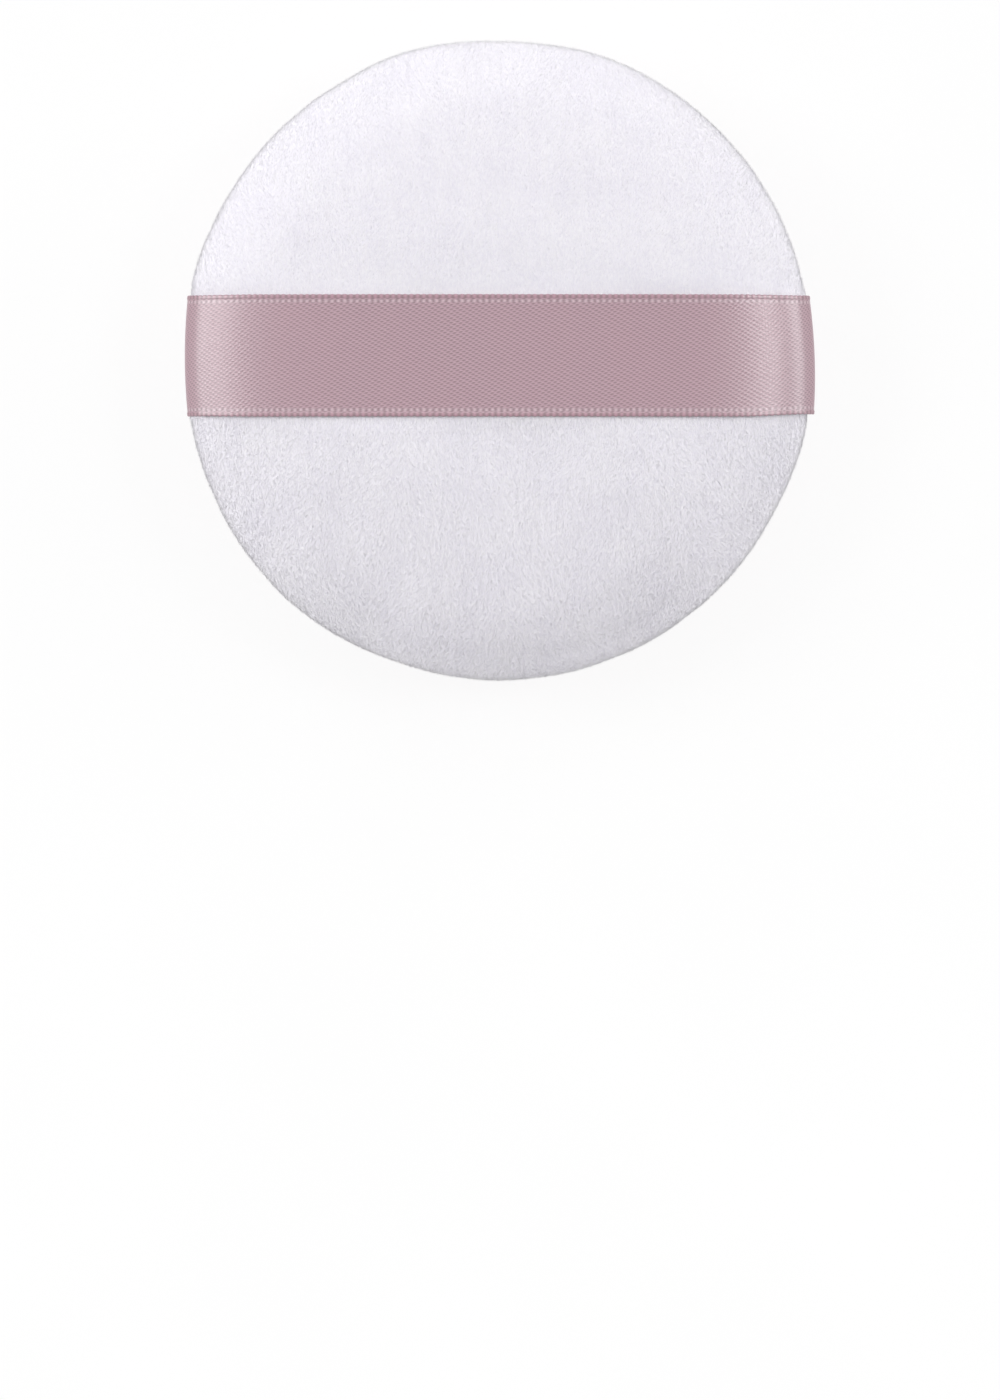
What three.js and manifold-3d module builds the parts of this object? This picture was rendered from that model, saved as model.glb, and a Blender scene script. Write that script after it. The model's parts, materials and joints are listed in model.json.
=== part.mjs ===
// Round powder puff with a finger ribbon, lying on its powder face.
// Millimetres, +Z up, ribbon along X. The rim seam lies at seamHeight above the table.
import * as THREE from 'three';
import { mergeGeometries, mergeVertices } from 'three/addons/utils/BufferGeometryUtils.js';
import Module from 'manifold-3d';

const wasm = await Module();
wasm.setup();

// Cushion
const puffLength = 80; // across the ribbon, along Y
const puffWidth = 78.5; // along the ribbon, which draws the rim in a little
const crownHeight = 10.5; // rim seam up to the middle of the ribbon face
const seamHeight = 9; // table up to the rim seam
const restingFlat = 0.5; // how far the powder face's crown is pressed flat where it rests
const crownFullness = 2.8; // higher makes the faces flatter and the shoulders tighter
const rimFullness = 2.4; // higher makes the rim stand more upright
const seamRoll = 1.6; // radius with which each cover rolls into the seam

// Covers and their turned-in seam allowances
const coverThickness = 1.6;
const allowanceWidth = 5;
const allowanceThickness = 1.2;
const seamGap = 0.3; // between the two allowances
const coreClearance = 0.3; // between the foam and what lies round it

// Ribbon
const ribbonWidth = 15;
const ribbonThickness = 0.4;
const ribbonClearance = 0.3; // between the ribbon and the velour it lies on
const tailSetback = 0.6; // from a tail's cut end to the raw edge of the allowance
const bandGap = 0.3; // between the band and the tail that continues it

// Sewing
const threadDiameter = 0.3;
const threadRest = 0.1; // between a thread and the fabric it lies on
const stitchLength = 3.5;
const stitchSlant = 0.25; // half the length along the seam in which a thread dives
const needleClearance = 0.12; // between a thread and its needle hole
const seamInset = 2; // machine stitch line, in from the mouth of the seam
const bastingInset = 3.6; // basting stitch line, in from the mouth of the seam
const bastingMargin = 1.4; // from a ribbon edge to the nearest basting stitch
const turningGap = 25; // length of rim left open for turning and stuffing
const turningAngle = -62; // degrees round from +X to the middle of that opening

// Fineness of the curves
const roundSteps = 48;
const crownSteps = 9;
const innerSteps = 6;
const rollSteps = 4;
const bandSteps = 16;
const threadSides = 4;

const rimRadius = puffLength / 2;
const drawIn = puffWidth / puffLength;
const mouthRadius = rimRadius - seamRoll;
const allowanceTop = seamGap / 2 + allowanceThickness;
const threadHeight = allowanceTop + threadRest + threadDiameter / 2;

const materials = {
  whiteVelour: { color: 0xf1eff4, roughness: 0.95 },
  pinkVelour: { color: 0xf0d6de, roughness: 0.95 },
  foam: { color: 0xf4efe2, roughness: 0.9 },
  satin: { color: 0xb2959e, roughness: 0.4 },
  whiteThread: { color: 0xf3f0ee, roughness: 0.7 },
  mauveThread: { color: 0xa98b95, roughness: 0.6 },
};

function toSolid(geometry) {
  const bare = geometry.clone();
  bare.deleteAttribute('normal');
  bare.deleteAttribute('uv');
  const merged = mergeVertices(bare, 1e-4);
  const corners = merged.index.array;
  const kept = [];
  for (let i = 0; i < corners.length; i += 3) {
    const [a, b, c] = [corners[i], corners[i + 1], corners[i + 2]];
    if (a !== b && b !== c && c !== a) kept.push(a, b, c);
  }
  return new wasm.Manifold(new wasm.Mesh({
    numProp: 3,
    vertProperties: new Float32Array(merged.attributes.position.array),
    triVerts: new Uint32Array(kept),
  }));
}

function toGeometry(solid) {
  const mesh = solid.getMesh();
  const geometry = new THREE.BufferGeometry();
  geometry.setAttribute('position', new THREE.BufferAttribute(mesh.vertProperties, 3));
  geometry.setIndex(new THREE.BufferAttribute(mesh.triVerts, 1));
  geometry.computeVertexNormals();
  return geometry;
}

// A quarter of a superellipse, from the rim (first) to the axis (last).
function crownProfile(radius, height, steps, fromAngle = Math.PI / 2) {
  const points = [];
  for (let i = 0; i <= steps; i += 1) {
    const a = fromAngle * (1 - i / steps);
    points.push(new THREE.Vector2(
      radius * Math.sin(a) ** (2 / crownFullness),
      seamRoll + (height - seamRoll) * Math.max(Math.cos(a), 0) ** (2 / rimFullness),
    ));
  }
  points[steps].x = 0;
  return points;
}

// The quarter round by which a cover rolls from its widest line down into the seam.
function rollProfile(steps, fromAngle = 0) {
  const points = [];
  for (let i = 0; i <= steps; i += 1) {
    const a = fromAngle + (Math.PI / 2 - fromAngle) * (i / steps);
    points.push(new THREE.Vector2(
      mouthRadius + seamRoll * Math.cos(a),
      seamRoll * (1 - Math.sin(a)),
    ));
  }
  return points;
}

// Half outline of a cover above the seam plane: crown, roll, allowance and lining side.
function coverProfile(height, flatTop) {
  const level = (p) => new THREE.Vector2(p.x, Math.min(p.y, flatTop));
  const liningLevel = (p) => new THREE.Vector2(p.x, Math.min(p.y, flatTop - coverThickness));
  const outside = crownProfile(rimRadius, height, crownSteps).reverse().map(level);
  const roll = rollProfile(rollSteps).slice(1, -1).filter((p) => p.y > seamGap);
  const liningRadius = rimRadius - coverThickness;
  const lining = crownProfile(liningRadius, height - coverThickness, innerSteps).map(liningLevel);
  const rawEdge = mouthRadius - allowanceWidth;
  return [
    ...outside,
    ...roll,
    new THREE.Vector2(mouthRadius, seamGap / 2),
    new THREE.Vector2(rawEdge, seamGap / 2),
    new THREE.Vector2(rawEdge, allowanceTop),
    new THREE.Vector2(liningRadius, allowanceTop),
    ...lining,
  ];
}

// Turns a half outline, given from the top down, into a round body drawn in by the ribbon.
function turned(profile) {
  const geometry = new THREE.LatheGeometry([...profile].reverse(), roundSteps);
  geometry.rotateX(Math.PI / 2);
  geometry.scale(drawIn, 1, 1);
  return geometry;
}

// Core outline: both crowns inside the covers, with a slot round the rim for the allowances.
function coreProfile(topHeight, baseHeight, baseFlat) {
  const radius = rimRadius - coverThickness - coreClearance;
  const inset = coverThickness + coreClearance;
  const slotTop = threadHeight + threadDiameter / 2 + coreClearance;
  const slotFloor = mouthRadius - allowanceWidth - coreClearance;
  const above = crownProfile(radius, topHeight - inset, innerSteps)
    .map((p) => new THREE.Vector2(p.x, Math.max(p.y, slotTop)));
  const below = crownProfile(radius, baseHeight - inset, innerSteps)
    .map((p) => new THREE.Vector2(p.x, -Math.max(Math.min(p.y, baseFlat - inset), slotTop)));
  return [
    ...above.reverse(),
    new THREE.Vector2(slotFloor, slotTop),
    new THREE.Vector2(slotFloor, -slotTop),
    ...below,
  ];
}

// Offsets a path in the XZ plane to both sides and closes it into a strip.
function stripShape(path, inside, outside) {
  const inner = [];
  const outer = [];
  path.forEach((point, i) => {
    const before = path[Math.max(i - 1, 0)];
    const after = path[Math.min(i + 1, path.length - 1)];
    const along = after.clone().sub(before).normalize();
    const out = new THREE.Vector2(-along.y, along.x);
    inner.push(point.clone().addScaledVector(out, -inside));
    outer.push(point.clone().addScaledVector(out, outside));
  });
  return new THREE.Shape([...outer, ...inner.reverse()]);
}

function strip(path, width, inside, outside) {
  const shape = stripShape(path, inside, outside);
  const geometry = new THREE.ExtrudeGeometry(shape, { depth: width, bevelEnabled: false });
  geometry.rotateX(Math.PI / 2);
  geometry.translate(0, width / 2, 0);
  return geometry;
}

// Ribbon band over the crown, from the left rim to the right rim.
function bandPath() {
  const start = Math.acos((bandGap / 2 / (crownHeight - seamRoll)) ** (rimFullness / 2));
  const right = crownProfile(rimRadius, crownHeight, bandSteps, start)
    .map((p) => new THREE.Vector2(p.x * drawIn, p.y));
  const left = right.slice(0, -1).map((p) => new THREE.Vector2(-p.x, p.y));
  return [...left, ...right.reverse()];
}

// Right ribbon tail: round the roll of the cover and flat into the seam.
function tailPath(inward) {
  const path = rollProfile(rollSteps + 1, bandGap / 2 / seamRoll);
  path.push(new THREE.Vector2(mouthRadius - inward, 0));
  return path.map((p) => new THREE.Vector2(p.x * drawIn, p.y));
}

// Machine stitch line round the rim, by angle.
function rimLine(angle) {
  const radius = mouthRadius - seamInset;
  const across = new THREE.Vector3(Math.cos(angle) / drawIn, Math.sin(angle), 0).normalize();
  return {
    point: new THREE.Vector3(radius * drawIn * Math.cos(angle), radius * Math.sin(angle), 0),
    across,
    along: new THREE.Vector3(-across.y, across.x, 0),
    perLength: 1 / radius,
  };
}

// Basting line straight across a ribbon tail, by distance along Y.
function bastingLine(side) {
  return (y) => ({
    point: new THREE.Vector3(side * (mouthRadius - bastingInset) * drawIn, y, 0),
    across: new THREE.Vector3(1, 0, 0),
    along: new THREE.Vector3(0, 1, 0),
    perLength: 1,
  });
}

function evenStops(from, to, count) {
  return Array.from({ length: count }, (_, i) => from + (to - from) * (i / (count - 1)));
}

// Lockstitch: the thread lies on the fabric and dives at each stop.
function lockstitch(line, stops, restHeight, diveHeight) {
  const points = [];
  const slant = stitchSlant * line(stops[0]).perLength;
  stops.forEach((s) => {
    points.push([s - slant, restHeight], [s, diveHeight], [s + slant, restHeight]);
  });
  return threadTube(line, points);
}

// Running stitch: the thread changes face at each stop.
function runningStitch(line, stops, topHeight, bottomHeight) {
  const points = [];
  const slant = stitchSlant * line(stops[0]).perLength;
  stops.forEach((s, i) => {
    const heights = i % 2 ? [bottomHeight, topHeight] : [topHeight, bottomHeight];
    points.push([s - slant, heights[0]], [s + slant, heights[1]]);
  });
  return threadTube(line, points);
}

// One tube through the given stations, with square ends half a stitch beyond the last dives.
function threadTube(line, stations) {
  const tip = (stitchLength / 2) * line(stations[0][0]).perLength;
  const first = stations[0];
  const last = stations[stations.length - 1];
  const all = [[first[0] - tip, first[1]], ...stations, [last[0] + tip, last[1]]];
  const centres = all.map(([s, z]) => line(s).point.clone().setZ(z));
  const positions = [];
  const corners = [];
  all.forEach(([s], i) => {
    const before = centres[Math.max(i - 1, 0)];
    const after = centres[Math.min(i + 1, centres.length - 1)];
    const along = after.clone().sub(before).normalize();
    const across = line(s).across;
    const up = across.clone().cross(along).normalize();
    for (let k = 0; k < threadSides; k += 1) {
      const a = (k / threadSides) * 2 * Math.PI;
      const p = centres[i].clone()
        .addScaledVector(across, (threadDiameter / 2) * Math.cos(a))
        .addScaledVector(up, (threadDiameter / 2) * Math.sin(a));
      positions.push(p.x, p.y, p.z);
    }
  });
  for (let i = 0; i + 1 < all.length; i += 1) {
    for (let k = 0; k < threadSides; k += 1) {
      const here = i * threadSides + k;
      const beside = i * threadSides + ((k + 1) % threadSides);
      corners.push(here, here + threadSides, beside);
      corners.push(beside, here + threadSides, beside + threadSides);
    }
  }
  const end = (all.length - 1) * threadSides;
  for (let k = 1; k + 1 < threadSides; k += 1) {
    corners.push(0, k, k + 1);
    corners.push(end, end + k + 1, end + k);
  }
  const geometry = new THREE.BufferGeometry();
  geometry.setAttribute('position', new THREE.Float32BufferAttribute(positions, 3));
  geometry.setIndex(corners);
  geometry.computeVertexNormals();
  return geometry;
}

// Needle holes through both allowances at every stop of a stitch line.
function needleHoles(line, stops) {
  const room = threadDiameter + 2 * needleClearance;
  const height = 2 * (threadHeight + threadDiameter);
  const holes = stops.map((s) => {
    const { point, across, along } = line(s);
    const hole = new THREE.BoxGeometry(room, room + 2 * stitchSlant, height);
    const turn = new THREE.Matrix4().makeBasis(across, along, new THREE.Vector3(0, 0, 1));
    hole.applyMatrix4(turn.setPosition(point));
    return hole;
  });
  return toSolid(mergeGeometries(holes));
}

const root = new THREE.Group();
root.name = 'powder_puff';
const puff = new THREE.Group();
puff.name = 'puff';
puff.position.z = seamHeight;
root.add(puff);

function addPiece(name, geometry, look) {
  const mesh = new THREE.Mesh(geometry, new THREE.MeshStandardMaterial(materials[look]));
  mesh.name = name;
  puff.add(mesh);
  return mesh;
}

// Stitch stops: the machine seam leaves the turning gap open, hand sewing closes it.
const gapHalf = turningGap / 2 / rimRadius;
const gapMiddle = THREE.MathUtils.degToRad(turningAngle);
const seamArc = 2 * Math.PI - 2 * gapHalf;
const seamRun = seamArc * (mouthRadius - seamInset);
const seamStops = evenStops(
  gapMiddle + gapHalf,
  gapMiddle + gapHalf + seamArc,
  Math.round(seamRun / stitchLength) + 1,
);
const closingSpacing = stitchLength / (mouthRadius - seamInset);
const closingCount = Math.floor((2 * gapHalf) / closingSpacing) - 1;
const closingReach = ((closingCount - 1) / 2) * closingSpacing;
const closingStops = evenStops(gapMiddle - closingReach, gapMiddle + closingReach, closingCount);
const bastingReach = ribbonWidth / 2 - bastingMargin - stitchLength / 2;
const bastingStops = evenStops(
  -bastingReach,
  bastingReach,
  Math.max(2, Math.round((2 * bastingReach) / stitchLength) + 1),
);

const rimHoles = needleHoles(rimLine, [...seamStops, ...closingStops]);
const tailInward = allowanceWidth - tailSetback;
const channelReach = ribbonThickness / 2 + ribbonClearance;
const cutWidth = ribbonWidth + 2 * ribbonClearance;

// Channel that the ribbon presses into the ribbon face, and its way into the seam.
const bandChannel = toSolid(strip(bandPath(), cutWidth, channelReach, coverThickness));
const tailChannel = toSolid(
  strip(tailPath(tailInward + ribbonClearance), cutWidth, channelReach, channelReach),
);
const endChannel = toSolid(strip(
  [new THREE.Vector2(rimRadius * drawIn, seamRoll + bandGap), tailPath(tailInward)[0]],
  cutWidth,
  channelReach,
  coverThickness,
));
const rightChannels = tailChannel.add(endChannel);
const leftChannels = rightChannels.mirror([1, 0, 0]);
const rightBastingHoles = needleHoles(bastingLine(1), bastingStops);
const leftBastingHoles = needleHoles(bastingLine(-1), bastingStops);

const ribbonFace = toSolid(turned(coverProfile(crownHeight, crownHeight)))
  .subtract(bandChannel)
  .subtract(rightChannels)
  .subtract(leftChannels)
  .subtract(rimHoles)
  .subtract(rightBastingHoles)
  .subtract(leftBastingHoles);
addPiece('ribbon_face_cover', toGeometry(ribbonFace), 'whiteVelour');

const powderHeight = seamHeight + restingFlat;
const powderProfile = coverProfile(powderHeight, seamHeight)
  .map((p) => new THREE.Vector2(p.x, -p.y))
  .reverse();
const powderFace = toSolid(turned(powderProfile))
  .subtract(rightChannels)
  .subtract(leftChannels)
  .subtract(rimHoles);
addPiece('powder_face_cover', toGeometry(powderFace), 'pinkVelour');

addPiece('foam_core', turned(coreProfile(crownHeight, powderHeight, seamHeight)), 'foam');

const halfRibbon = ribbonThickness / 2;
addPiece('finger_ribbon', strip(bandPath(), ribbonWidth, halfRibbon, halfRibbon), 'satin');
const rightTail = toSolid(strip(tailPath(tailInward), ribbonWidth, halfRibbon, halfRibbon));
addPiece(
  'ribbon_tail_right',
  toGeometry(rightTail.subtract(rimHoles).subtract(rightBastingHoles)),
  'satin',
);
addPiece(
  'ribbon_tail_left',
  toGeometry(rightTail.mirror([1, 0, 0]).subtract(rimHoles).subtract(leftBastingHoles)),
  'satin',
);

// The needle thread lies on the upper allowance and the bobbin thread under the lower one.
const lockHeight = seamGap / 2 + threadDiameter / 2;
addPiece(
  'seam_needle_thread',
  lockstitch(rimLine, seamStops, threadHeight, lockHeight),
  'whiteThread',
);
addPiece(
  'seam_bobbin_thread',
  lockstitch(rimLine, seamStops, -threadHeight, -lockHeight),
  'whiteThread',
);
addPiece(
  'closing_thread',
  runningStitch(rimLine, closingStops, threadHeight, -threadHeight),
  'whiteThread',
);
addPiece(
  'basting_thread_right',
  lockstitch(bastingLine(1), bastingStops, threadHeight, 0),
  'mauveThread',
);
addPiece(
  'basting_thread_left',
  lockstitch(bastingLine(-1), bastingStops, threadHeight, 0),
  'mauveThread',
);

export default root;
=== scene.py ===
import json
import math

import bpy
import numpy as np
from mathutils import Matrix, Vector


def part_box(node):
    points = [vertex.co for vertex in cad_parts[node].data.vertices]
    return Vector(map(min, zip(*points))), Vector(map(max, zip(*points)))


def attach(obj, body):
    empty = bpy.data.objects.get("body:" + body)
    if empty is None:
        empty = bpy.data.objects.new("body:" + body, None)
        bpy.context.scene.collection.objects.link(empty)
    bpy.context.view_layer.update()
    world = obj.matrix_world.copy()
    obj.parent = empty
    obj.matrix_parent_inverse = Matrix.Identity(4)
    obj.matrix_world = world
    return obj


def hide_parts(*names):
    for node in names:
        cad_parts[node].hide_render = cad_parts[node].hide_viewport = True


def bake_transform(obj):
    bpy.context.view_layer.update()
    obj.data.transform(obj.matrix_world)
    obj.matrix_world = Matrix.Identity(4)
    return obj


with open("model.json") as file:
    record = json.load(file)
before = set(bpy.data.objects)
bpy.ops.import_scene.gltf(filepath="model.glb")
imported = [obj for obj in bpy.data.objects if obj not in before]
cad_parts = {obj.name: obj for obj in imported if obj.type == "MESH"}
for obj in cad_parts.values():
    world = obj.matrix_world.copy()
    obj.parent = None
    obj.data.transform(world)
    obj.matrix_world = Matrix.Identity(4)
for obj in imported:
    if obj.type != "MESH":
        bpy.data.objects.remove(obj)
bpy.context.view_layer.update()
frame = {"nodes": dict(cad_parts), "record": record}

mm = 0.001
scene = bpy.context.scene
nodes = frame["nodes"]


# Shared helpers

def boxOf(node):
    low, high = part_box(node)
    return np.array(low), np.array(high)


def linear(red, green, blue):
    # sRGB, 0 to 255, to the linear colour that shaders take.
    c = np.array([red, green, blue]) / 255
    c = np.where(c <= 0.04045, c / 12.92, ((c + 0.055) / 1.055) ** 2.4)
    return (*(float(v) for v in c), 1.0)


def smoothStep(low, high, value):
    # 0 at low, 1 at high and level at both; low may be the larger of the two.
    t = np.clip((value - low) / (high - low), 0, 1)
    return t * t * (3 - 2 * t)


def fromEnd(end, distances):
    # The two places that lie these distances short of an end.
    return end - distances[0], end - distances[1]


def unit(vectors):
    return vectors / np.maximum(np.linalg.norm(vectors, axis=-1, keepdims=True), 1e-12)


def waves(x, y, seed, shortest, longest, count=7):
    # Sum of sine waves in seeded directions, with lengths between two limits; about -1 to 1.
    draw = np.random.default_rng(seed)
    angle = draw.uniform(0, 2 * np.pi, count)
    pace = 2 * np.pi / draw.uniform(shortest, longest, count)
    phase = draw.uniform(0, 2 * np.pi, count)
    along = np.multiply.outer(x, np.cos(angle)) + np.multiply.outer(y, np.sin(angle))
    return np.sin(along * pace + phase).sum(-1) / math.sqrt(count)


def makeMesh(name, points, faces):
    # Points as an array of triples, faces as an array whose rows all have the same corner count.
    mesh = bpy.data.meshes.new(name)
    mesh.vertices.add(len(points))
    mesh.vertices.foreach_set("co", np.ascontiguousarray(points, np.float32).ravel())
    mesh.loops.add(faces.size)
    mesh.loops.foreach_set("vertex_index", np.ascontiguousarray(faces, np.int32).ravel())
    mesh.polygons.add(len(faces))
    starts = np.arange(0, faces.size, faces.shape[1], dtype=np.int32)
    mesh.polygons.foreach_set("loop_start", starts)
    mesh.polygons.foreach_set("use_smooth", np.ones(len(faces), bool))
    mesh.update(calc_edges=True)
    mesh.validate()
    obj = bpy.data.objects.new(name, mesh)
    scene.collection.objects.link(obj)
    return obj


def addAttribute(obj, name, values):
    made = obj.data.attributes.new(name, "FLOAT", "POINT")
    made.data.foreach_set("value", np.ascontiguousarray(values, np.float32).ravel())


def addMap(obj, name, corners):
    # A UV map from one pair for each face corner.
    made = obj.data.uv_layers.new(name=name)
    made.data.foreach_set("uv", np.ascontiguousarray(corners, np.float32).ravel())


def gridQuads(rows, columns):
    corner = np.arange(rows * columns).reshape(rows, columns)
    quads = [corner[:-1, :-1], corner[:-1, 1:], corner[1:, 1:], corner[1:, :-1]]
    return np.stack(quads, -1).reshape(-1, 4)


def gridRim(size):
    # Indices round the border of a square grid, anticlockwise.
    corner = np.arange(size * size).reshape(size, size)
    return np.concatenate(
        [corner[0, :-1], corner[:-1, -1], corner[-1, :0:-1], corner[:0:-1, 0]]
    )


def gridNormals(points):
    return unit(np.cross(np.gradient(points, axis=1), np.gradient(points, axis=0)))


# Material helpers

def addNode(tree, kind, settings=None, inputs=None):
    made = tree.nodes.new(kind)
    for key, value in (settings or {}).items():
        setattr(made, key, value)
    for key, value in (inputs or {}).items():
        if isinstance(value, bpy.types.NodeSocket):
            tree.links.new(value, made.inputs[key])
        else:
            made.inputs[key].default_value = value
    return made


def maths(tree, operation, *values):
    inputs = dict(enumerate(values))
    return addNode(tree, "ShaderNodeMath", {"operation": operation}, inputs).outputs[0]


def mixColours(tree, share, first, second):
    inputs = {0: share, 6: first, 7: second}
    return addNode(tree, "ShaderNodeMix", {"data_type": "RGBA"}, inputs).outputs[2]


def mixValues(tree, share, first, second):
    inputs = {0: share, 2: first, 3: second}
    return addNode(tree, "ShaderNodeMix", None, inputs).outputs[0]


def newMaterial(name, **sockets):
    # A Principled material with the given constant sockets; returns it with its tree and shader.
    material = bpy.data.materials.new(name)
    material.use_nodes = True
    tree = material.node_tree
    shader = tree.nodes["Principled BSDF"]
    for key, value in sockets.items():
        shader.inputs[key.replace("_", " ")].default_value = value
    return material, tree, shader


def objectCoordinates(tree, scale=(1, 1, 1)):
    place = addNode(tree, "ShaderNodeTexCoord").outputs["Object"]
    return addNode(tree, "ShaderNodeMapping", None, {"Vector": place, "Scale": scale}).outputs[0]


def noiseField(tree, vector, size, detail=2.0, roughness=0.5):
    inputs = {"Vector": vector, "Scale": 1 / size, "Detail": detail, "Roughness": roughness}
    return addNode(tree, "ShaderNodeTexNoise", None, inputs).outputs[0]


def spread(tree, value, low, high, start=0.0, end=1.0):
    # Low to high becomes start to end.
    inputs = {0: value, 1: low, 2: high, 3: start, 4: end}
    return addNode(tree, "ShaderNodeMapRange", None, inputs).outputs[0]


def attributeValue(tree, name):
    return addNode(tree, "ShaderNodeAttribute", {"attribute_name": name}).outputs["Fac"]


def bumpFrom(tree, shader, height, distance, strength=1.0):
    inputs = {"Height": height, "Distance": distance, "Strength": strength}
    made = addNode(tree, "ShaderNodeBump", None, inputs)
    tree.links.new(made.outputs[0], shader.inputs["Normal"])


# Cushion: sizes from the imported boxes, form values as in the construction

baseLow, baseHigh = boxOf("powder_face_cover")
topLow, topHigh = boxOf("ribbon_face_cover")
bandLow, bandHigh = boxOf("finger_ribbon")

cushion = {
    "halfLength": baseHigh[1],  # across the ribbon
    "halfWidth": baseHigh[0],  # along the ribbon
    "seam": (baseHigh[2] + topLow[2]) / 2,
    "crown": bandHigh[2] - 0.2 * mm,  # the ribbon's middle lies on the crown
    "restingFlat": 0.5 * mm,  # how far the underside's crown is pressed flat
    "flatSoftness": 0.12 * mm,  # how softly the flat runs out into the crown
    "crownFullness": 2.8,
    "rimFullness": 2.4,
    "roll": 1.6 * mm,  # radius with which a cover rolls into the seam
    "allowance": 4.6 * mm,  # turned-in edge
    "seamGap": 0.15 * mm,  # from the seam's middle to a cover
    "backing": 0.5 * mm,  # thickness of the knitted backing
    "cells": 168,
    "steps": (500, 60, 30),  # along the crown, the roll and the turned-in edge
}
drawIn = cushion["halfWidth"] / cushion["halfLength"]


def crossSection(height, gap, flat=1.0):
    # Radius and rise above the seam from the axis outwards: a superellipse crown, softly cut at
    # the flat, then a quarter round into the seam and a straight run for the turned-in edge.
    # A flat of 1 m is none.
    c = cushion
    crownSteps, rollSteps, edgeSteps = c["steps"]
    a = np.linspace(0, np.pi / 2, crownSteps)
    radius = c["halfLength"] * np.sin(a) ** (2 / c["crownFullness"])
    rise = c["roll"] + (height - c["roll"]) * np.cos(a).clip(0) ** (2 / c["rimFullness"])
    softness = c["flatSoftness"]
    rise = -softness * np.logaddexp(-rise / softness, -flat / softness)
    b = np.linspace(0, np.pi / 2, rollSteps)[1:]
    mouth = c["halfLength"] - c["roll"]
    inward = np.linspace(0, c["allowance"], edgeSteps)[1:]
    radius = np.concatenate([radius, mouth + c["roll"] * np.cos(b), mouth - inward])
    rise = np.concatenate([rise, c["roll"] * (1 - np.sin(b)), 0 * inward]) + gap
    length = np.concatenate([[0], np.cumsum(np.hypot(np.diff(radius), np.diff(rise)))])
    return radius, rise, length


# Velour covers

whiteVelour = {
    "name": "white_velour",
    "node": "ribbon_face_cover",
    "side": 1,  # above the seam
    "pile": 0.28 * mm,
    "lumps": 0.16 * mm,
    "puckers": 0.07 * mm,
    "seed": 11,
    "inset": 0.0,
    "fill": 0.85,
    # The root is darker than the tip: painted shade down in the pile, whose fibres cast no shadow.
    "root": linear(239, 236, 246),
    "tip": linear(253, 251, 255),
    "fibres": 49000,  # in each pile piece
    "pilePieces": 4,
    "dent": {"depth": 0.4 * mm, "radius": 38.0 * mm, "width": 1.1 * mm, "turn": -62, "reach": 26},
}
pinkVelour = {
    "name": "pink_velour",
    "node": "powder_face_cover",
    "side": -1,
    "pile": 0.28 * mm,
    "lumps": 0.16 * mm,
    "puckers": 0.07 * mm,
    "seed": 23,
    "inset": 0.45 * mm,  # how far its rim stays back, hidden from the ribbon face
    "fill": 0.85,
    # The root is darker than the tip: painted shade down in the pile, whose fibres cast no shadow.
    "root": linear(247, 217, 228),
    "tip": linear(252, 232, 240),
    "fibres": 49000,
    "pilePieces": 3,
}
coverForm = {  # shared by both covers
    "pileEnd": (2.6 * mm, 0.3 * mm),  # from the seam to where the pile shortens, and to where it ends
    "reliefEnd": (1.6 * mm, 0.3 * mm),  # the same for lumps and puckers
    "lumpSizes": (16 * mm, 45 * mm),
    "puckerSizes": (0.11, 0.2),  # round a circle of radius 1
    "puckerReach": 3.2 * mm,  # from the seam
    "insetFrom": 0.5,  # share of the way to the seam from which a rim stays back
    "pressedPile": 0.5,  # share of the pile's depth that is lost where the puff rests
    "pressedLevel": (0.7 * mm, 0.1 * mm),  # heights between which it is lost
    "restingLevel": (0.2 * mm, 1.2 * mm),  # heights between which the floor stops keeping it flat
}
ribbonPress = {
    "depth": 0.06 * mm,  # how far the ribbon sinks the velour under it
    "spread": 2.0 * mm,  # from a ribbon edge to where the velour is level again
    "inside": 0.3 * mm,  # from a ribbon edge inwards to where it is pressed all the way
}
swell = {
    "cells": 44,
    "enlarge": 10,  # the cloth solver is at home near metre size
    "quality": 6,
    "frames": 20,
    "pressure": 4.0,
    "cap": 0.35 * mm,  # furthest that a point may move
    "still": 2.5 * mm,  # from the seam to where the cover starts to move
    "free": 9.0 * mm,  # from the seam or the ribbon to where it moves all the way
    "heldBelow": 0.05,  # share of freedom under which a point is held
    "evenings": 3,  # times that the move is evened out among neighbours, as foam does
}


def discGrid(cells):
    # Square grid bent to the unit disc, with no pole.
    a = np.linspace(-1, 1, cells + 1)
    p, q = np.meshgrid(a, a)
    return p * np.sqrt(1 - q * q / 2), q * np.sqrt(1 - p * p / 2)


def beyondRibbon(y):
    # Distance outside the nearer ribbon edge, negative under the ribbon.
    return np.abs(y - ribbon["offset"]) - ribbon["width"] / 2


def underRibbon(y, side, margin):
    # 1 under the ribbon, falling to 0 at a margin beyond its edges; only on the ribbon face.
    return (1 - smoothStep(-ribbonPress["inside"], margin, beyondRibbon(y))) * (side > 0)


def rimPull(side, along, end):
    # How far the sewn ribbon end on that side draws the rim in: nothing on the crown, all of it
    # at the rim and in the seam.
    pull = np.where(side > 0, ribbon["ends"][1]["pull"], ribbon["ends"][-1]["pull"])
    return pull * smoothStep(*fromEnd(end - cushion["allowance"], ribbon["pullReach"]), along)


def dentDepth(dent, angle, reach):
    # A shallow hollow along the rim: a bell curve in angle times one in distance from the middle.
    offTurn = (np.degrees(angle) - dent["turn"]) / dent["reach"]
    offRing = (reach - dent["radius"]) / dent["width"]
    return dent["depth"] * np.exp(-(offTurn**2 + offRing**2) / 2)


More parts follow.
